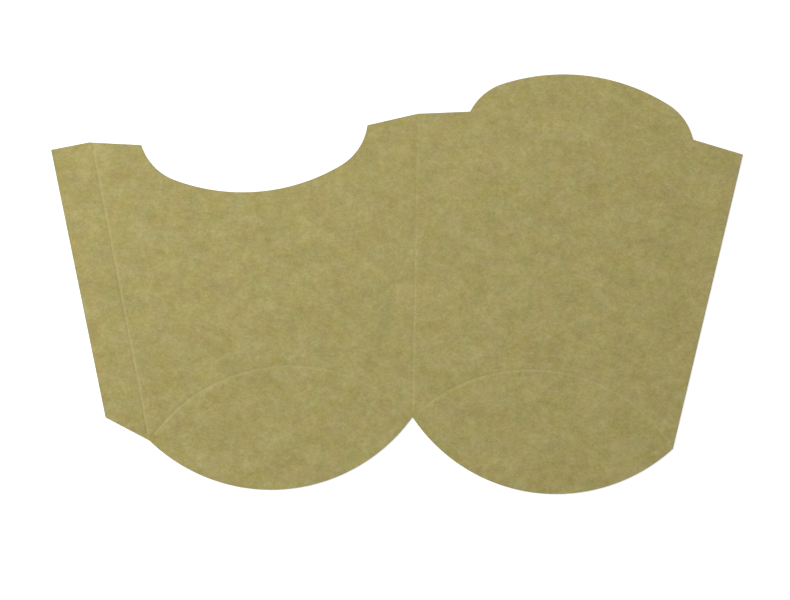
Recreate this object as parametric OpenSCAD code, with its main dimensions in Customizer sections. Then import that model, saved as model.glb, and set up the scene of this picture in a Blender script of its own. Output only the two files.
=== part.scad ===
// Flat die-cut blank of a french fries box, in one piece of creased kraft board.
// The front panel with its scoop is on the left and the back panel with its dome on the right.
// They meet at the centre fold, and the glue flap is on the front panel's outer edge.
// The blank lies flat with its outer face up: +X runs from front to back panel, +Y up the panels.
// The creases are grooves in that face and beads on the underside, which the blank rests on.
// The origin is at the foot of the beads, at the middle of the blank's box.

/* [Panels] */
// Width of each panel between its two bottom corners
panel_bottom_w = 86; // [76:0.5:98]
// Width of each panel between its two top corners
panel_top_w = 106.8; // [100:0.1:120]
// Length of the centre fold, and of the outer edge of each panel
fold_l = 98.7; // [85:0.1:120]

/* [Bottom flaps] */
// How far each round bottom flap drops past the line between its panel's corners
lobe_drop = 19.8; // [15:0.2:28]
// How far the crease of each bottom flap rises past that line
lobe_crease_rise = 20.4; // [15:0.2:28]

/* [Front scoop] */
// Width of the shoulder at each side of the scoop
scoop_shoulder_w = 16.6; // [10:0.1:24]
// How far each shoulder falls towards the scoop
scoop_shoulder_fall = 2.3; // [0.5:0.1:5]
// Depth of the scoop below its shoulders
scoop_depth = 18.3; // [15:0.1:28]
// Radius of the tight curve at each end of the scoop
scoop_end_r = 18; // [8:0.5:20]
// Angle at which each end of the scoop meets the line between its shoulders
scoop_foot_angle = 77; // [70:0.5:86]

/* [Back dome] */
// Width of the shoulder at each side of the dome
dome_shoulder_w = 16.8; // [10:0.1:24]
// How far each shoulder climbs towards the dome
dome_shoulder_climb = 2.8; // [0.5:0.1:5]
// Height of the dome above its shoulders
dome_rise = 16.2; // [13:0.2:24]
// Radius of the tight curve at each end of the dome
dome_end_r = 18; // [8:0.5:21]
// Angle at which each end of the dome meets the line between its shoulders
dome_foot_angle = 70; // [50:0.5:78]

/* [Glue flap] */
// Width of the glue flap, square to its crease
glue_flap_w = 12.5; // [10:0.5:18]
// How far up the crease the flap's lower edge slopes
glue_flap_slope = 10.2; // [4:0.2:14]

/* [Board and creases] */
// Thickness of the board
board_t = 0.4; // [0.25:0.05:0.8]
// Width of the groove that a crease presses into the outer face
groove_w = 1.1; // [0.8:0.1:1.6]
// Depth of that groove
groove_h = 0.13; // [0.05:0.01:0.2]
// Width of the bead that the crease raises on the underside
bead_w = 1.2; // [0.8:0.1:1.6]
// Height of that bead
bead_h = 0.12; // [0.05:0.01:0.25]
// Distance from each end of a crease to the corner that it runs to
crease_gap = 2.2; // [1.8:0.1:5]

/* [Hidden] */
$fn = 120;
kraft = "#a79c67";

// How far an edge or a cut runs on past the place where it meets another
overrun = 1;
// How far the tight curves of an arch stand out of its wide one where they blend, so that they cross
blend = 0.002;
// How much of the board's thickness a bead is rooted in
bead_root_share = 0.5;
// How steeply the end of a crease runs out into the face
runout_angle = 20;

// Each panel leans away from the fold by panel_lean
side_lean = (panel_top_w - panel_bottom_w) / 2;
panel_lean = asin(side_lean / fold_l);
panel_h = fold_l * cos(panel_lean);
panel_mid = panel_bottom_w / 2;

// The round bottom flap's circle goes through both bottom corners of its panel
lobe_r = bow_radius(panel_mid, lobe_drop);
lobe_centre_v = lobe_r - lobe_drop;

// So does the circle of its crease, which bows up into the panel
lobe_crease_r = bow_radius(panel_mid, lobe_crease_rise);
lobe_crease_half_angle = asin(panel_mid / lobe_crease_r);
lobe_crease_centre_v = lobe_crease_rise - lobe_crease_r;

// Half the width of the scoop and of the dome, and the level of their shoulders
scoop_half_span = panel_top_w / 2 - scoop_shoulder_w;
scoop_v = panel_h - scoop_shoulder_fall;
dome_half_span = panel_top_w / 2 - dome_shoulder_w;
dome_v = panel_h + dome_shoulder_climb;
dome_crown_r = crown_radius(dome_half_span, dome_rise, dome_end_r, dome_foot_angle);

// Corners of the cut line
fold_bottom = [0, 0];
fold_top = [0, fold_l];
back_bottom = back_at(panel_bottom_w, 0);
back_top = back_at(panel_bottom_w + side_lean, panel_h);
dome_near = back_at(panel_mid - dome_half_span, dome_v);
dome_far = back_at(panel_mid + dome_half_span, dome_v);
front_bottom = front_at(panel_bottom_w, 0);
front_top = front_at(panel_bottom_w + side_lean, panel_h);
scoop_near = front_at(panel_mid - scoop_half_span, scoop_v);
scoop_far = front_at(panel_mid + scoop_half_span, scoop_v);
flap_up = (front_top - front_bottom) / fold_l;
flap_out = [-flap_up.y, flap_up.x];
flap_top = front_top + glue_flap_w * flap_out;
flap_bottom = front_bottom + glue_flap_w * flap_out + glue_flap_slope * flap_up;

// Middle of the blank's box, which is where the origin goes
top_y = back_at(panel_mid, dome_v + dome_rise - dome_crown_r).y + dome_crown_r;
bottom_y = back_at(panel_mid, lobe_centre_v).y - lobe_r;
middle = [(flap_top.x + back_top.x) / 2, (bottom_y + top_y) / 2];

// Point of the back panel: u runs from the fold along the panel's bottom, v up the panel
function back_at(u, v) =
    [u * cos(panel_lean) + v * sin(panel_lean), v * cos(panel_lean) - u * sin(panel_lean)];

// The same point of the front panel, mirrored in the fold
function front_at(u, v) = let (p = back_at(u, v)) [-p.x, p.y];

// Point that lies past q on the line from p, so that an edge crosses the next one and doesn't only touch it
function past(p, q) = q + overrun * (q - p) / norm(q - p);

// Radius of a circle that bows by rise over a chord twice half_chord long
function bow_radius(half_chord, rise) = (half_chord * half_chord + rise * rise) / (2 * rise);

// Radius of the wide middle curve of an arch that ends in two tight ones
function crown_radius(half_span, rise, end_r, foot_angle) =
    let (
        end_x = half_span - end_r * sin(foot_angle),
        end_drop = rise + end_r * cos(foot_angle)
    )
    (end_x * end_x + end_drop * end_drop - end_r * end_r) / (2 * (end_drop - end_r));

// Frames of the two panels: the origin is the fold's lower end, X the panel's bottom and Y up the panel
module back_frame() {
    rotate(-panel_lean) children();
}

module front_frame() {
    mirror([1, 0, 0]) back_frame() children();
}

// Frame of a panel's outer edge: the origin is its lower end, Y runs up it and X out of the panel
module outer_edge_frame() {
    translate([panel_bottom_w, 0, 0]) rotate(-panel_lean) children();
}

// Arch of three curves over a level chord centred on the origin, which its ends meet at foot_angle
module arch(half_span, rise, end_r, foot_angle) {
    crown_r = crown_radius(half_span, rise, end_r, foot_angle);
    end_x = half_span - end_r * sin(foot_angle);
    end_y = -end_r * cos(foot_angle);
    spread = asin(end_x / (crown_r - end_r));
    reach = (rise - end_y) / cos(spread) + overrun;
    ends = [[-end_x, end_y], [end_x, end_y]];
    intersection() {
        translate([0, rise - crown_r]) circle(crown_r);
        polygon([
            ends[0],
            ends[0] + reach * [-sin(spread), cos(spread)],
            ends[1] + reach * [sin(spread), cos(spread)],
            ends[1]
        ]);
    }
    for (end = ends)
        translate(end) circle(end_r + blend);
}

// Round bottom flap, which laps a little way up into its panel
module lobe() {
    intersection() {
        translate([panel_mid, lobe_centre_v]) circle(lobe_r);
        translate([panel_mid - lobe_r, -lobe_drop - overrun])
            square([2 * lobe_r, lobe_drop + 3 * overrun]);
    }
}

// Straight edges of both panels and of the glue flap
module panels() {
    polygon([
        fold_bottom + [0, overrun],
        past(fold_bottom, back_bottom),
        past(dome_far, back_top),
        past(back_top, dome_far),
        past(fold_top, dome_near),
        fold_top,
        past(fold_top, scoop_near),
        past(front_top, scoop_far),
        front_top,
        flap_top,
        flap_bottom,
        past(flap_bottom, front_bottom)
    ]);
}

// Cut line of the whole blank: the last cut trims the back panel along its outer edge
module outline() {
    difference() {
        union() {
            panels();
            back_frame() lobe();
            front_frame() lobe();
            back_frame()
                translate([panel_mid, dome_v])
                    arch(dome_half_span, dome_rise, dome_end_r, dome_foot_angle);
        }
        front_frame()
            translate([panel_mid, scoop_v])
                mirror([0, 1])
                    arch(scoop_half_span, scoop_depth, scoop_end_r, scoop_foot_angle);
        back_frame()
            outer_edge_frame()
                translate([0, -lobe_drop])
                    square([lobe_r, fold_l + 2 * lobe_drop]);
    }
}

// Section of a bead or a groove: the top of a circle, w wide at the face and h high, with its root behind
module crease_section(w, h, root) {
    back_r = bow_radius(w / 2, h);
    intersection() {
        translate([0, h - back_r]) circle(back_r);
        translate([-back_r, -root]) square([2 * back_r, root + h]);
    }
}

// What is cut off the end of a crease that starts at the origin and runs up +Y, so that it rises gently
module runout(w) {
    rotate([runout_angle, 0, 0]) translate([-2 * w, -2 * w, 0]) cube([4 * w, 3 * w, w]);
}

// Straight crease up +Y between two corners that are l apart
module straight_crease(l, w, h, root) {
    difference() {
        translate([0, l - crease_gap + w, 0])
            rotate([90, 0, 0])
                linear_extrude(l - 2 * crease_gap + 2 * w)
                    crease_section(w, h, root);
        translate([0, crease_gap, 0]) runout(w);
        translate([0, l - crease_gap, 0]) mirror([0, 1, 0]) runout(w);
    }
}

// Curved crease on a circle about the origin, between two corners at half_angle from +Y
module curved_crease(r, half_angle, w, h, root) {
    gap_angle = crease_gap / r * 180 / PI;
    spare_angle = w / r * 180 / PI;
    from = 90 - half_angle + gap_angle;
    to = 90 + half_angle - gap_angle;
    difference() {
        rotate(from - spare_angle)
            rotate_extrude(angle = to - from + 2 * spare_angle)
                translate([r, 0])
                    crease_section(w, h, root);
        rotate(from) translate([r, 0, 0]) runout(w);
        rotate(to) translate([r, 0, 0]) mirror([0, 1, 0]) runout(w);
    }
}

// Crease of a bottom flap
module bottom_crease(w, h, root) {
    translate([panel_mid, lobe_crease_centre_v, 0])
        curved_crease(lobe_crease_r, lobe_crease_half_angle, w, h, root);
}

// Centre fold, glue flap crease and both bottom flap creases
module creases(w, h, root) {
    straight_crease(fold_l, w, h, root);
    front_frame() outer_edge_frame() straight_crease(fold_l, w, h, root);
    back_frame() bottom_crease(w, h, root);
    front_frame() bottom_crease(w, h, root);
}

module blank() {
    color(kraft)
        translate([-middle.x, -middle.y, 0])
            difference() {
                translate([0, 0, bead_h])
                    union() {
                        linear_extrude(board_t) outline();
                        mirror([0, 0, 1]) creases(bead_w, bead_h, board_t * bead_root_share);
                    }
                translate([0, 0, bead_h + board_t])
                    mirror([0, 0, 1])
                        creases(groove_w, groove_h, overrun);
            }
}

blank();
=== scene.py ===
"""Looks of a flat french fries box blank: a fine mesh of the creased board, its finish, light and camera.

Lengths are in metres. The sizes repeat those of the part's source, so that the fine mesh has the same cut
line and creases, apart from the upper end of the glue flap's crease and the depth of the grooves. +X runs
from the front panel to the back panel, +Y up the panels and +Z out of the outer face.
"""
import math

import bpy
import numpy as np
from mathutils import Matrix, Vector
from mathutils.geometry import delaunay_2d_cdt


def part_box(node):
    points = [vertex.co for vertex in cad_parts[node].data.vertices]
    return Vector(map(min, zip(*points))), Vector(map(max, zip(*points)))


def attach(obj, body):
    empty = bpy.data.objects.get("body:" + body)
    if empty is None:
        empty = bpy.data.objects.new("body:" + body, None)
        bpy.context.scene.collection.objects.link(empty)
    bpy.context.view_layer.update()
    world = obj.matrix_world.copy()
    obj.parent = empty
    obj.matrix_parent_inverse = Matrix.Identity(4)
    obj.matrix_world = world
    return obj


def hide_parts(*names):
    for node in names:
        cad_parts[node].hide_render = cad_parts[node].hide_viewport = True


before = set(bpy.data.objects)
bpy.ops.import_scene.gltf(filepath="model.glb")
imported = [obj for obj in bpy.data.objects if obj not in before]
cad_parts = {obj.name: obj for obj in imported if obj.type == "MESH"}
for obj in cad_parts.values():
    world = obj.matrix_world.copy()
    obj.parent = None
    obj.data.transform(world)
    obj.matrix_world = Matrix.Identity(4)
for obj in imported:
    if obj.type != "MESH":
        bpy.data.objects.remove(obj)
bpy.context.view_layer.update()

MM = 0.001

# Panels, bottom flaps and glue flap
PANEL_BOTTOM_W = 86 * MM
PANEL_TOP_W = 106.8 * MM
FOLD_L = 98.7 * MM
LOBE_DROP = 19.8 * MM
LOBE_CREASE_RISE = 20.4 * MM
GLUE_FLAP_W = 12.5 * MM
GLUE_FLAP_SLOPE = 10.2 * MM

# Front scoop and back dome
SCOOP_SHOULDER_W = 16.6 * MM
SCOOP_SHOULDER_FALL = 2.3 * MM
SCOOP_DEPTH = 18.3 * MM
SCOOP_END_R = 18 * MM
SCOOP_FOOT_ANGLE = math.radians(77)
DOME_SHOULDER_W = 16.8 * MM
DOME_SHOULDER_CLIMB = 2.8 * MM
DOME_RISE = 16.2 * MM
DOME_END_R = 18 * MM
DOME_FOOT_ANGLE = math.radians(70)

# Board and creases
BOARD_T = 0.4 * MM
GROOVE_W = 1.1 * MM
GROOVE_H = 0.13 * MM
BEAD_W = 1.2 * MM
BEAD_H = 0.12 * MM
CREASE_GAP = 2.2 * MM
RUNOUT_SLOPE = math.tan(math.radians(20))
# A groove or bead with soft shoulders is this much wider than the round one that it follows
SOFT_SHARE = math.sqrt(2)
# How deep each groove is pressed at its first and at its last end, as shares of GROOVE_H: the centre fold
# and the glue flap's crease from below, then the back and the front bottom flap's from the fold outwards.
# The same shares set how pale each crease shows, partly pressed fibres and partly a painted highlight
PRESS = ((1.1, 0.35), (2.0, 1.45), (0.85, 1.6), (0.6, 1.25))
EVEN_PRESS = ((1, 1),) * len(PRESS)
# How far inside the panel's upper corner the glue flap's crease ends
GLUE_CREASE_INSET = 0.9 * MM

# Rounding of the cut edge, and the slight waviness of the board
OUTER_EDGE_R = 0.08 * MM
INNER_EDGE_R = 0.04 * MM
COCKLE_H = 0.08 * MM
# Length, heading and phase of each wave
COCKLE_WAVES = ((61 * MM, 0.4, 0.3), (43 * MM, 1.3, 1.9), (33 * MM, 2.5, 4.0))

# Spacing of the mesh
CUT_STEP = 0.7 * MM
CREASE_STEP = 0.9 * MM
FIELD_STEP = 2.2 * MM
FIELD_CLEARANCE = 0.9 * MM
RIM_INSET = 0.35 * MM
ROUND_STEPS = 3
WALL_STEPS = 3
CREASE_ROW_SHARES = (0, 0.14, 0.28, 0.42, 0.56, 0.7, 0.85, 1)
RUNOUT_ROW_SHARES = (0, 0.25, 0.5, 0.75, 1, 1.6)
# The triangulation keeps what is inside the loop, and merges points closer than this many millimetres
KEEP_INSIDE = 1
MERGE_MM = 1e-6

# Material slots of the board
FACE_SLOT = 0
CUT_EDGE_SLOT = 1

# Sizes that follow from these
SIDE_LEAN = (PANEL_TOP_W - PANEL_BOTTOM_W) / 2
PANEL_LEAN = math.asin(SIDE_LEAN / FOLD_L)
PANEL_H = FOLD_L * math.cos(PANEL_LEAN)
PANEL_MID = PANEL_BOTTOM_W / 2
OUTER_FACE_Z = BEAD_H + BOARD_T


# Cut line

def bow_radius(half_chord, rise):
    """Radius of a circle that bows by rise over a chord twice half_chord long."""
    return (half_chord ** 2 + rise ** 2) / (2 * rise)


def back_at(uv):
    """Points of the back panel: u runs from the fold along the panel's bottom, v up the panel."""
    u, v = np.asarray(uv, float).T
    c, s = math.cos(PANEL_LEAN), math.sin(PANEL_LEAN)
    return np.stack([u * c + v * s, v * c - u * s], axis=-1)


def front_at(uv):
    """The same points of the front panel, mirrored in the fold."""
    return back_at(uv) * (-1, 1)


def straight(start, end):
    """Points from start up to just before end."""
    count = math.ceil(np.linalg.norm(end - start) / CUT_STEP)
    shares = np.arange(count)[:, None] / count
    return start + (end - start) * shares


def arc(centre, radius, first, last):
    """Points on a circle from angle first up to just before last, both measured clockwise from +v."""
    count = math.ceil(radius * abs(last - first) / CUT_STEP)
    angles = first + (last - first) * np.arange(count) / count
    return np.asarray(centre) + radius * np.stack([np.sin(angles), np.cos(angles)], axis=-1)


def arch(half_span, rise, end_r, foot_angle):
    """Arch of three curves over a level chord centred on the origin, from its right foot to its left one."""
    end_x = half_span - end_r * math.sin(foot_angle)
    end_y = -end_r * math.cos(foot_angle)
    end_drop = rise - end_y
    crown_r = (end_x ** 2 + end_drop ** 2 - end_r ** 2) / (2 * (end_drop - end_r))
    spread = math.asin(end_x / (crown_r - end_r))
    return np.concatenate([
        arc((end_x, end_y), end_r, foot_angle, spread),
        arc((0, rise - crown_r), crown_r, spread, -spread),
        arc((-end_x, end_y), end_r, -spread, -foot_angle),
    ])


def lobe(outwards):
    """Edge of a round bottom flap in its panel's frame, from the fold outwards or the other way."""
    radius = bow_radius(PANEL_MID, LOBE_DROP)
    turn = math.asin(PANEL_MID / radius) * (1 if outwards else -1)
    return arc((PANEL_MID, radius - LOBE_DROP), radius, math.pi + turn, math.pi - turn)


def glue_flap_corners():
    """The front panel's lower and upper outer corner, then the glue flap's upper and lower corner."""
    low, high = front_at([(PANEL_BOTTOM_W, 0), (PANEL_BOTTOM_W + SIDE_LEAN, PANEL_H)])
    up = (high - low) / FOLD_L
    out = np.array([-up[1], up[0]]) * GLUE_FLAP_W
    return low, high, high + out, low + out + up * GLUE_FLAP_SLOPE


def feet(panel_at, shoulder_w, level):
    """The outer and the inner foot of an arch that leaves shoulders on its panel at that level."""
    half_span = PANEL_TOP_W / 2 - shoulder_w
    return panel_at([(PANEL_MID + half_span, level), (PANEL_MID - half_span, level)])


def cut_line():
    """The blank's outline, anticlockwise from above, with the fold's lower end at the origin."""
    scoop_v = PANEL_H - SCOOP_SHOULDER_FALL
    dome_v = PANEL_H + DOME_SHOULDER_CLIMB
    scoop = arch(PANEL_TOP_W / 2 - SCOOP_SHOULDER_W, SCOOP_DEPTH, SCOOP_END_R, SCOOP_FOOT_ANGLE)
    dome = arch(PANEL_TOP_W / 2 - DOME_SHOULDER_W, DOME_RISE, DOME_END_R, DOME_FOOT_ANGLE)
    scoop_far, scoop_near = feet(front_at, SCOOP_SHOULDER_W, scoop_v)
    dome_far, dome_near = feet(back_at, DOME_SHOULDER_W, dome_v)
    back_low, back_high = back_at([(PANEL_BOTTOM_W, 0), (PANEL_BOTTOM_W + SIDE_LEAN, PANEL_H)])
    low, high, flap_high, flap_low = glue_flap_corners()
    fold_high = np.array([0, FOLD_L])
    return np.concatenate([
        back_at(lobe(outwards=True)),
        straight(back_low, back_high),
        straight(back_high, dome_far),
        back_at(dome + (PANEL_MID, dome_v)),
        straight(dome_near, fold_high),
        straight(fold_high, scoop_near),
        front_at((PANEL_MID, scoop_v) - scoop),
        straight(scoop_far, high),
        straight(high, flap_high),
        straight(flap_high, flap_low),
        straight(flap_low, low),
        front_at(lobe(outwards=False)),
    ])


def inward_steps(loop):
    """For each point of an anticlockwise loop, the step that moves both its edges inwards by one unit."""
    ahead = np.roll(loop, -1, axis=0) - loop
    ahead /= np.linalg.norm(ahead, axis=1, keepdims=True)
    left = np.stack([-ahead[:, 1], ahead[:, 0]], axis=-1)
    both = left + np.roll(left, 1, axis=0)
    return both / (both * left).sum(axis=1, keepdims=True)


# Creases

class StraightCrease:
    """Crease between two points. A place on it is its distance along from the start, and across."""

    def __init__(self, start, end):
        self.start = start
        self.length = np.linalg.norm(end - start)
        self.along = (end - start) / self.length
        self.across = np.array([self.along[1], -self.along[0]])

    def place(self, along, across):
        return self.start + along[:, None] * self.along + across[:, None] * self.across

    def locate(self, xy):
        return (xy - self.start) @ self.along, (xy - self.start) @ self.across


class LobeCrease:
    """Round crease of a bottom flap. side is 1 on the back panel and -1 on the front one."""

    def __init__(self, side):
        self.side = side
        self.radius = bow_radius(PANEL_MID, LOBE_CREASE_RISE)
        self.centre = np.array([PANEL_MID, LOBE_CREASE_RISE - self.radius])
        self.length = 2 * self.radius * math.asin(PANEL_MID / self.radius)

    def place(self, along, across):
        angles = (along - self.length / 2) / self.radius
        outwards = np.stack([np.sin(angles), np.cos(angles)], axis=-1)
        return back_at(self.centre + (self.radius + across)[:, None] * outwards) * (self.side, 1)

    def locate(self, xy):
        c, s = math.cos(PANEL_LEAN), math.sin(PANEL_LEAN)
        x, y = xy[:, 0] * self.side, xy[:, 1]
        u, v = np.stack([x * c - y * s, x * s + y * c]) - self.centre[:, None]
        return np.arctan2(u, v) * self.radius + self.length / 2, np.hypot(u, v) - self.radius


def glue_crease():
    """Crease of the glue flap, from the panel's lower corner to just inside its upper one."""
    low, high, flap_high, _ = glue_flap_corners()
    return StraightCrease(low, high + (high - flap_high) * GLUE_CREASE_INSET / GLUE_FLAP_W)


CREASES = (
    StraightCrease(np.array([0, 0]), np.array([0, FOLD_L])),
    glue_crease(),
    LobeCrease(1),
    LobeCrease(-1),
)


def relief(xy, width, height, shares):
    """Depth of the grooves, or height of the beads, at each point, as a share of height."""
    half = SOFT_SHARE * width / 2
    most = np.zeros(len(xy))
    for crease, (first, last) in zip(CREASES, shares):
        along, across = crease.locate(xy)
        share = first + (last - first) * np.clip(along / crease.length, 0, 1)
        section = np.cos(np.clip(np.abs(across) / half, 0, 1) * math.pi / 2) ** 2
        from_end = np.minimum(along, crease.length - along) - CREASE_GAP
        rise = np.clip(from_end * RUNOUT_SLOPE / height, 0, 1)
        most = np.maximum(most, share * section * rise)
    return most


def crease_distance(xy):
    """Distance of each point from the nearest crease, and which crease that is."""
    gaps = []
    for crease in CREASES:
        along, across = crease.locate(xy)
        past_end = np.maximum(0, np.abs(along - crease.length / 2) - crease.length / 2)
        gaps.append(np.hypot(across, past_end))
    return np.min(gaps, axis=0), np.argmin(gaps, axis=0)


# Mesh of the board

def crease_points():
    """Rows of points that follow each crease, closer together across it and at its ends."""
    half = SOFT_SHARE * GROOVE_W / 2
    across = np.unique([side * share * half for share in CREASE_ROW_SHARES for side in (-1, 1)])
    runout = np.array(RUNOUT_ROW_SHARES) * GROOVE_H / RUNOUT_SLOPE
    rows = []
    for number, crease in enumerate(CREASES):
        first = CREASE_GAP + runout
        last = crease.length - first[::-1]
        count = round((last[0] - first[-1]) / CREASE_STEP)
        middle = np.linspace(first[-1], last[0], count + 1)[1:-1]
        along = np.concatenate([first, middle, last])
        points = crease.place(np.repeat(along, len(across)), np.tile(across, len(along)))
        rows.append(points[crease_distance(points)[1] == number])
    return np.concatenate(rows)


def field_points(loop):
    """Even triangular grid over the board, clear of its edge and of the creases."""
    low, high = loop.min(axis=0), loop.max(axis=0)
    row_step = FIELD_STEP * math.sqrt(3) / 2
    rows = [
        (x + FIELD_STEP / 2 * (number % 2), y)
        for number, y in enumerate(np.arange(low[1], high[1], row_step))
        for x in np.arange(low[0], high[0], FIELD_STEP)
    ]
    points = np.array(rows)
    ends = np.roll(loop, -1, axis=0)
    crossings = np.zeros(len(points), int)
    gap = np.full(len(points), np.inf)
    for (x0, y0), (x1, y1) in zip(loop, ends):
        gap = np.minimum(gap, np.hypot(points[:, 0] - x0, points[:, 1] - y0))
        if y0 != y1:
            spans = (points[:, 1] >= min(y0, y1)) & (points[:, 1] < max(y0, y1))
            reach = x0 + (points[:, 1] - y0) * (x1 - x0) / (y1 - y0)
            crossings += spans & (points[:, 0] < reach)
    crease_gap = crease_distance(points)[0] - SOFT_SHARE * GROOVE_W / 2
    return points[(crossings % 2 == 1) & (gap > FIELD_CLEARANCE) & (crease_gap > FIELD_CLEARANCE)]


def fill(loop):
    """Points inside the loop, and triangles over them. The loop's own points come first."""
    points = np.concatenate([loop, crease_points(), field_points(loop)]) / MM
    outline = [list(range(len(loop)))]
    found = delaunay_2d_cdt([Vector(p) for p in points], [], outline, KEEP_INSIDE, MERGE_MM)
    made, _, faces, sources, _, _ = found
    place = np.empty(len(made), int)
    for number, source in enumerate(sources):
        place[number] = source[0]
    triangles = place[np.array(faces)]
    a, b, c = (points[triangles[:, k]] for k in range(3))
    turn = (b - a)[:, 0] * (c - a)[:, 1] - (b - a)[:, 1] * (c - a)[:, 0]
    triangles[turn < 0] = triangles[turn < 0][:, ::-1]
    return points * MM, triangles


def cockle(xy):
    """Lift of the slightly wavy board above the surface, from 0 to COCKLE_H."""
    total = np.zeros(len(xy))
    for length, heading, phase in COCKLE_WAVES:
        along = xy @ (math.cos(heading), math.sin(heading))
        total += np.sin(2 * math.pi * along / length + phase)
    return COCKLE_H * (0.5 + total / (2 * len(COCKLE_WAVES)))


def rim_section():
    """Section of the cut edge from the underside up: how far in and how high each point is."""
    turns = np.linspace(0, math.pi / 2, ROUND_STEPS + 1)
    rows = [(INNER_EDGE_R * (1 - math.sin(t)), INNER_EDGE_R * (1 - math.cos(t))) for t in turns]
    wall = np.linspace(INNER_EDGE_R, BOARD_T - OUTER_EDGE_R, WALL_STEPS + 1)
    rows += [(0, z) for z in wall[1:-1]]
    rows += [(OUTER_EDGE_R * (1 - math.cos(t)), BOARD_T - OUTER_EDGE_R * (1 - math.sin(t))) for t in turns]
    return rows


def raised(xy, z):
    """Points at xy with those heights, on the wavy board."""
    return np.column_stack([xy, cockle(xy) + z])


def board_mesh():
    """Closed mesh of the board, with how near the cut edge and how deep in a crease each point is."""
    cut = cut_line()
    inward = inward_steps(cut)
    points, triangles = fill(cut + RIM_INSET * inward)
    groove = relief(points, GROOVE_W, GROOVE_H, PRESS)
    bead = relief(points, BEAD_W, BEAD_H, EVEN_PRESS)
    section = rim_section()
    layers = [
        raised(points, OUTER_FACE_Z - GROOVE_H * groove),
        raised(points, BEAD_H - BEAD_H * bead),
    ]
    layers += [raised(cut + inset * inward, BEAD_H + z) for inset, z in section]
    rim = [np.zeros(2 * len(points))]
    rim += [np.full(len(cut), 1 - inset / RIM_INSET) for inset, _ in section]

    count, around = len(points), np.arange(len(cut))
    rings = [count + around]
    rings += [2 * count + number * len(cut) + around for number in range(len(section))]
    rings += [around]
    faces = triangles.tolist() + (triangles[:, ::-1] + count).tolist()
    slots = [FACE_SLOT] * len(faces)
    for lower, upper in zip(rings, rings[1:]):
        faces += np.column_stack([lower, np.roll(lower, -1), np.roll(upper, -1), upper]).tolist()
        on_a_face = lower is rings[0] or upper is rings[-1]
        slots += [FACE_SLOT if on_a_face else CUT_EDGE_SLOT] * len(cut)

    vertices = np.concatenate(layers)
    box_low, box_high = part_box("blank")
    middle = (vertices[:, :2].min(axis=0) + vertices[:, :2].max(axis=0)) / 2
    vertices[:, :2] += np.array((box_low + box_high) / 2)[:2] - middle

    mesh = bpy.data.meshes.new("board")
    mesh.from_pydata(vertices.tolist(), [], faces)
    mesh.polygons.foreach_set("use_smooth", np.ones(len(faces), bool))
    mesh.polygons.foreach_set("material_index", slots)
    # The crease share also sets the crease's paleness in the face material: partly pressed fibres, partly a
    # painted highlight
    creased = np.concatenate([groove, bead, np.zeros(len(vertices) - 2 * count)])
    for name, values in (("rim", np.concatenate(rim)), ("creased", creased)):
        mesh.attributes.new(name, "FLOAT", "POINT").data.foreach_set("value", values)
    mesh.update()
    return mesh


# Materials

# Sockets of a Mix node that mixes colours
MIX_SHARE_IN = 0
MIX_FIRST_IN = 6
MIX_SECOND_IN = 7
MIX_COLOUR_OUT = 2
NOISE_ROUGHNESS = 0.55
# Middle of the range of a noise and of a ramp
MIDDLE = 0.5


class Nodes:
    """Short ways to add and link the nodes of one tree."""

    def __init__(self, tree):
        self.tree = tree
        tree.nodes.clear()

    def add(self, kind, inputs=None, **settings):
        """A new node with those settings. An input is a value, or the socket that feeds it."""
        node = self.tree.nodes.new("ShaderNode" + kind)
        for name, value in settings.items():
            setattr(node, name, value)
        for name, value in (inputs or {}).items():
            if isinstance(value, bpy.types.NodeSocket):
                self.tree.links.new(value, node.inputs[name])
            else:
                node.inputs[name].default_value = value
        return node

    def math(self, operation, *values):
        return self.add("Math", dict(enumerate(values)), operation=operation).outputs[0]

    def mix(self, share, first, second):
        """Colour that goes from first to second as share goes from 0 to 1."""
        inputs = {MIX_SHARE_IN: share, MIX_FIRST_IN: first, MIX_SECOND_IN: second}
        return self.add("Mix", inputs, data_type="RGBA").outputs[MIX_COLOUR_OUT]

    def drift(self, colour, value, first, second):
        """Colour moved along the step from first to second as value goes from below to above its middle."""
        step = [b - a for a, b in zip(first[:3], second[:3])]
        off = self.math("SUBTRACT", value, MIDDLE)
        return self.add("VectorMath", {0: off, 1: step, 2: colour}, operation="MULTIPLY_ADD").outputs[0]

    def millimetres(self):
        """Coordinates on the object itself, in millimetres."""
        place = self.add("TexCoord").outputs["Object"]
        return self.add("Mapping", {"Vector": place, "Scale": (1 / MM, 1 / MM, 1 / MM)}).outputs[0]

    def stretched(self, coordinates, scale, turn=0.0):
        """Coordinates turned about Z and then scaled, so that patterns follow that heading."""
        turned = self.add("Mapping", {"Vector": coordinates, "Rotation": (0, 0, turn)})
        return self.add("Mapping", {"Vector": turned.outputs[0], "Scale": scale}).outputs[0]

    def noise(self, coordinates, detail, roughness=NOISE_ROUGHNESS):
        inputs = {"Vector": coordinates, "Scale": 1.0, "Detail": detail, "Roughness": roughness}
        return self.add("TexNoise", inputs).outputs["Fac"]

    def ramp(self, value, *stops):
        """Colours or greys along a value, each stop being its place and its colour."""
        node = self.add("ValToRGB", {"Fac": value})
        elements = node.color_ramp.elements
        while len(elements) < len(stops):
            elements.new(MIDDLE)
        for element, (place, colour) in zip(elements, stops):
            element.position = place
            element.color = colour
        return node.outputs["Color"]

    def attribute(self, name):
        return self.add("Attribute", attribute_name=name).outputs["Fac"]


# The sRGB curve: straight up to its toe, then a power
SRGB_WHITE = 255
SRGB_TOE = 0.04045
SRGB_TOE_SLOPE = 12.92
SRGB_OFFSET = 0.055
SRGB_POWER = 2.4


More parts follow.
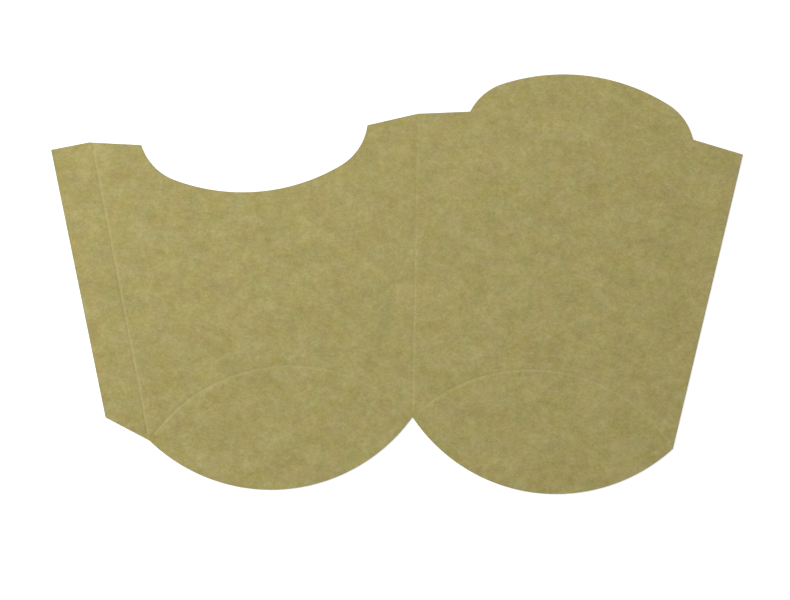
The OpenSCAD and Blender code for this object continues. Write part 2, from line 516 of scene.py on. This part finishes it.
def linear(red, green, blue):
    """Linear colour of an sRGB one whose channels run to SRGB_WHITE."""
    curve = []
    for channel in (red, green, blue):
        level = channel / SRGB_WHITE
        if level <= SRGB_TOE:
            curve.append(level / SRGB_TOE_SLOPE)
        else:
            curve.append(((level + SRGB_OFFSET) / (1 + SRGB_OFFSET)) ** SRGB_POWER)
    return (*curve, 1.0)


def grey(level):
    return (level, level, level, 1.0)


KRAFT = linear(165, 154, 94)
KRAFT_PALE = linear(190, 179, 124)
KRAFT_DARK = linear(140, 129, 66)
KRAFT_YELLOW = linear(168, 155, 80)
KRAFT_GREY = linear(162, 153, 106)
KRAFT_RED = linear(171, 151, 94)
KRAFT_GREEN = linear(159, 157, 94)
# Paler colour of the creases: partly the pressed fibres' own paleness, partly a painted highlight
CREASE_PALENESS_AND_HIGHLIGHT = linear(196, 188, 138)
FIBRE_DARK = linear(102, 90, 48)
FIBRE_PALE = linear(215, 204, 160)
CUT_EDGE_PALE = linear(186, 181, 150)
CUT_EDGE_DARK = linear(134, 127, 98)

# Noises that make the face's tone: cells per millimetre along X, Y and Z, and weight
CLOUD_SCALE = (0.085, 0.11, 0.1)
CLOUD_WEIGHT = 0.4
MOTTLE_SCALE = (0.28, 0.32, 0.3)
MOTTLE_WEIGHT = 0.44
GRAIN_SCALE = (0.86, 1.04, 1.0)
GRAIN_WEIGHT = 0.55
FINE_SCALE = (2.8, 3.7, 3.0)
FINE_WEIGHT = 0.48
TONE_DETAIL = 2.0
TONE_STOPS = ((0.1, KRAFT_DARK), (0.5, KRAFT), (0.9, KRAFT_PALE))

# Noises that make the face's hue, in cells per millimetre
YELLOW_SCALE = (0.14, 0.18, 0.16)
RED_SCALE = (0.18, 0.14, 0.2)
HUE_DETAIL = 3.0

# Fibres: cells per millimetre along and across, how far from its middle the noise still shows one, their
# headings, and how much of their colour shows
FIBRE_SCALE = (0.4, 3.4, 1.0)
FIBRE_DETAIL = 2.0
FIBRE_REACH = 0.022
PALE_FIBRE_TURNS = (0.25, -0.4, 1.3)
PALE_FIBRE_SHARE = 0.26
DARK_FIBRE_TURNS = (0.6, -0.15, -1.1)
DARK_FIBRE_SHARE = 0.2

# Flecks, with cell and size in millimetres, and how much of their colour shows
DARK_FLECKS = {"cell": 3.1, "size": 0.16, "share": 0.3, "turn": 0.4, "stretch": 2.2}
DARK_FLECK_SHARE = 0.4
PALE_FLECKS = {"cell": 2.3, "size": 0.2, "share": 0.35, "turn": -0.5, "stretch": 2.6}
PALE_FLECK_SHARE = 0.3

# How much of their colour a full crease and the rim show; a crease's paleness is partly its pressed fibres
# and partly a painted highlight
CREASE_PALENESS_AND_HIGHLIGHT_SHARE = 0.16
RIM_SHARE = 0.15

# Relief and gloss of the face
GRAIN_BUMP = 0.6
FINE_BUMP = 0.3
FIBRE_BUMP = 0.25
FACE_BUMP_H = 0.04 * MM
FACE_ROUGH_STOPS = ((0.3, grey(0.74)), (0.7, grey(0.9)))
BUMP_STRENGTH = 0.5
SPECULAR_LEVEL = 0.15

# Layers and burnish of the cut edge, in cells per millimetre, and its relief and gloss
LAYER_SCALE = (0.7, 0.7, 22.0)
LAYER_DETAIL = 3.0
LAYER_ROUGHNESS = 0.6
LAYER_STOPS = ((0.3, CUT_EDGE_DARK), (0.7, CUT_EDGE_PALE))
BURNISH_SCALE = (2.5, 2.5, 3.0)
BURNISH_DETAIL = 2.0
BURNISH_SHARE = 0.5
CUT_EDGE_BUMP_H = 0.03 * MM
CUT_EDGE_ROUGH_STOPS = ((0.3, grey(0.8)), (0.7, grey(0.95)))


def flecks(nodes, coordinates, cell, size, share, turn, stretch):
    """Sparse short fibres, one in that share of the cells, about size wide and stretch times as long."""
    scale = (1 / (cell * stretch), 1 / cell, 1 / cell)
    cells = nodes.add("TexVoronoi", {"Vector": nodes.stretched(coordinates, scale, turn), "Scale": 1.0})
    near = nodes.ramp(cells.outputs["Distance"], (0.0, grey(1)), (size / cell, grey(0)))
    pick = nodes.add("SeparateColor", {"Color": cells.outputs["Color"]}).outputs[0]
    chosen = nodes.math("LESS_THAN", pick, share)
    return nodes.math("MULTIPLY", near, chosen)


def fibres(nodes, coordinates, *turns):
    """Thin wandering lines along each of those headings, from 0 between them to 1 on them."""
    most = 0.0
    for turn in turns:
        wander = nodes.noise(nodes.stretched(coordinates, FIBRE_SCALE, turn), FIBRE_DETAIL)
        off = nodes.math("ABSOLUTE", nodes.math("SUBTRACT", wander, MIDDLE))
        most = nodes.math("MAXIMUM", nodes.ramp(off, (0.0, grey(1)), (FIBRE_REACH, grey(0))), most)
    return most


def kraft_material():
    """Face of uncoated kraft board: cloudy formation, streaky fibres, flecks, and creases paler from
    pressing and from a painted highlight.
    """
    material = bpy.data.materials.new("kraft_face")
    material.use_nodes = True
    nodes = Nodes(material.node_tree)
    mm = nodes.millimetres()

    clouds = nodes.noise(nodes.stretched(mm, CLOUD_SCALE), TONE_DETAIL)
    mottle = nodes.noise(nodes.stretched(mm, MOTTLE_SCALE), TONE_DETAIL)
    grain = nodes.noise(nodes.stretched(mm, GRAIN_SCALE), TONE_DETAIL)
    fine = nodes.noise(nodes.stretched(mm, FINE_SCALE), TONE_DETAIL)
    tone = MIDDLE
    for layer, weight in (
        (clouds, CLOUD_WEIGHT),
        (mottle, MOTTLE_WEIGHT),
        (grain, GRAIN_WEIGHT),
        (fine, FINE_WEIGHT),
    ):
        tone = nodes.math("MULTIPLY_ADD", nodes.math("SUBTRACT", layer, MIDDLE), weight, tone)
    colour = nodes.ramp(tone, *TONE_STOPS)

    yellowness = nodes.noise(nodes.stretched(mm, YELLOW_SCALE), HUE_DETAIL)
    colour = nodes.drift(colour, yellowness, KRAFT_GREY, KRAFT_YELLOW)
    redness = nodes.noise(nodes.stretched(mm, RED_SCALE), HUE_DETAIL)
    colour = nodes.drift(colour, redness, KRAFT_GREEN, KRAFT_RED)

    pale_fibres = fibres(nodes, mm, *PALE_FIBRE_TURNS)
    dark_fibres = fibres(nodes, mm, *DARK_FIBRE_TURNS)
    for layer, share, tint in (
        (pale_fibres, PALE_FIBRE_SHARE, FIBRE_PALE),
        (dark_fibres, DARK_FIBRE_SHARE, FIBRE_DARK),
        (flecks(nodes, mm, **DARK_FLECKS), DARK_FLECK_SHARE, FIBRE_DARK),
        (flecks(nodes, mm, **PALE_FLECKS), PALE_FLECK_SHARE, FIBRE_PALE),
        # Creases made paler: partly their pressed fibres, partly a painted highlight
        (nodes.attribute("creased"), CREASE_PALENESS_AND_HIGHLIGHT_SHARE, CREASE_PALENESS_AND_HIGHLIGHT),
        (nodes.attribute("rim"), RIM_SHARE, CUT_EDGE_DARK),
    ):
        colour = nodes.mix(nodes.math("MULTIPLY", layer, share), colour, tint)

    height = nodes.math("MULTIPLY_ADD", grain, GRAIN_BUMP, nodes.math("MULTIPLY", fine, FINE_BUMP))
    either = nodes.math("MAXIMUM", pale_fibres, dark_fibres)
    height = nodes.math("MULTIPLY_ADD", either, FIBRE_BUMP, height)
    bump = nodes.add("Bump", {"Height": height, "Strength": BUMP_STRENGTH, "Distance": FACE_BUMP_H})
    shader = nodes.add("BsdfPrincipled", {
        "Base Color": colour,
        "Roughness": nodes.ramp(grain, *FACE_ROUGH_STOPS),
        "Specular IOR Level": SPECULAR_LEVEL,
        "Normal": bump.outputs[0],
    })
    nodes.add("OutputMaterial", {"Surface": shader.outputs[0]})
    return material


def cut_edge_material():
    """Cut edge of the board: pressed layers of fibre, darker where the blade rubbed."""
    material = bpy.data.materials.new("kraft_cut_edge")
    material.use_nodes = True
    nodes = Nodes(material.node_tree)
    mm = nodes.millimetres()
    layers = nodes.noise(nodes.stretched(mm, LAYER_SCALE), LAYER_DETAIL, LAYER_ROUGHNESS)
    burnish = nodes.noise(nodes.stretched(mm, BURNISH_SCALE), BURNISH_DETAIL)
    colour = nodes.ramp(layers, *LAYER_STOPS)
    colour = nodes.mix(nodes.math("MULTIPLY", burnish, BURNISH_SHARE), colour, KRAFT_DARK)
    bump = nodes.add("Bump", {"Height": layers, "Strength": BUMP_STRENGTH, "Distance": CUT_EDGE_BUMP_H})
    shader = nodes.add("BsdfPrincipled", {
        "Base Color": colour,
        "Roughness": nodes.ramp(burnish, *CUT_EDGE_ROUGH_STOPS),
        "Specular IOR Level": SPECULAR_LEVEL,
        "Normal": bump.outputs[0],
    })
    nodes.add("OutputMaterial", {"Surface": shader.outputs[0]})
    return material


# Stage

FLOOR_SIZE = 6.0
FLOOR_COLOUR = grey(0.88)
FLOOR_ROUGHNESS = 0.9
# How much the floor glows for the eye near the part, and far from it, where it turns fully white, and the
# distances from the middle that count as near and far
FLOOR_LIFT_NEAR = 0.42
FLOOR_LIFT_FAR = 0.6
FLOOR_NEAR = 0.3
FLOOR_FAR = 0.9
FILL_LIGHT = 0.49
KEY_SHARE = 0.5
KEY_SIZE = 0.4
KEY_DISTANCE = 0.7
KEY_ELEVATION = math.radians(48)
KEY_HEADING = math.radians(140)


def seen_directly(nodes):
    """1 for the rays that see the surface itself or its mirror image, and 0 for those that light others."""
    path = nodes.add("LightPath").outputs
    seen = nodes.math("MAXIMUM", path["Is Camera Ray"], path["Is Glossy Ray"])
    return nodes.math("MAXIMUM", seen, path["Is Transmission Ray"])


def make_floor():
    """Plain pale floor that shows nearly white and keeps the shadow."""
    half = FLOOR_SIZE / 2
    mesh = bpy.data.meshes.new("floor")
    corners = [(-half, -half, 0), (half, -half, 0), (half, half, 0), (-half, half, 0)]
    mesh.from_pydata(corners, [], [(0, 1, 2, 3)])
    floor = bpy.data.objects.new("floor", mesh)
    bpy.context.scene.collection.objects.link(floor)
    material = bpy.data.materials.new("floor")
    material.use_nodes = True
    nodes = Nodes(material.node_tree)
    place = nodes.add("TexCoord").outputs["Object"]
    distance = nodes.add("VectorMath", {0: place}, operation="LENGTH").outputs["Value"]
    lift = nodes.add("MapRange", {
        "Value": distance,
        "From Min": FLOOR_NEAR,
        "From Max": FLOOR_FAR,
        "To Min": FLOOR_LIFT_NEAR,
        "To Max": FLOOR_LIFT_FAR,
    })
    shader = nodes.add("BsdfPrincipled", {
        "Base Color": FLOOR_COLOUR,
        "Roughness": FLOOR_ROUGHNESS,
        "Specular IOR Level": 0.0,
        "Emission Color": grey(1),
        "Emission Strength": nodes.math("MULTIPLY", seen_directly(nodes), lift.outputs[0]),
    })
    nodes.add("OutputMaterial", {"Surface": shader.outputs[0]})
    mesh.materials.append(material)


def make_light():
    """Even white surroundings and one large soft key lamp from the upper left of the picture."""
    world = bpy.data.worlds.new("surroundings")
    world.use_nodes = True
    nodes = Nodes(world.node_tree)
    strength = nodes.add("MapRange", {
        "Value": seen_directly(nodes),
        "To Min": FILL_LIGHT,
        "To Max": 1.0,
    })
    background = nodes.add("Background", {"Color": grey(1), "Strength": strength.outputs[0]})
    nodes.add("OutputWorld", {"Surface": background.outputs[0]})
    bpy.context.scene.world = world

    lamp = bpy.data.lights.new("key", "AREA")
    lamp.shape = "DISK"
    lamp.size = KEY_SIZE
    lamp.energy = KEY_SHARE * (math.pi * KEY_DISTANCE) ** 2 / math.sin(KEY_ELEVATION)
    key = bpy.data.objects.new("key", lamp)
    towards = Vector((
        math.cos(KEY_HEADING) * math.cos(KEY_ELEVATION),
        math.sin(KEY_HEADING) * math.cos(KEY_ELEVATION),
        math.sin(KEY_ELEVATION),
    ))
    key.location = towards * KEY_DISTANCE
    key.rotation_euler = towards.to_track_quat("Z", "Y").to_euler()
    bpy.context.scene.collection.objects.link(key)


CAMERA_LENS_MM = 50
CAMERA_DISTANCE = 357.2 * MM
CAMERA_TARGET = Vector((-0.22 * MM, -5.78 * MM, OUTER_FACE_Z))
CAMERA_LEAN = (-0.0116, 0.0225)
CAMERA_ROLL = math.radians(0.987)
CAMERA_CLIP_START = 1 * MM


def make_camera():
    """Camera that looks nearly straight down, as the photograph does."""
    data = bpy.data.cameras.new("camera")
    data.lens = CAMERA_LENS_MM
    data.clip_start = CAMERA_CLIP_START
    back = Vector((*CAMERA_LEAN, 1)).normalized()
    right = Vector((0, 1, 0)).cross(back).normalized()
    axes = Matrix((right, back.cross(right), back)).transposed()
    camera = bpy.data.objects.new("camera", data)
    placed = Matrix.Translation(CAMERA_TARGET + back * CAMERA_DISTANCE) @ axes.to_4x4()
    camera.matrix_world = placed @ Matrix.Rotation(CAMERA_ROLL, 4, "Z")
    bpy.context.scene.collection.objects.link(camera)
    bpy.context.scene.camera = camera


board = bpy.data.objects.new("board", board_mesh())
board.data.materials.append(kraft_material())
board.data.materials.append(cut_edge_material())
bpy.context.scene.collection.objects.link(board)
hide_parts("blank")
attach(board, "root")

make_floor()
make_light()
make_camera()
bpy.context.scene.view_settings.view_transform = "Standard"
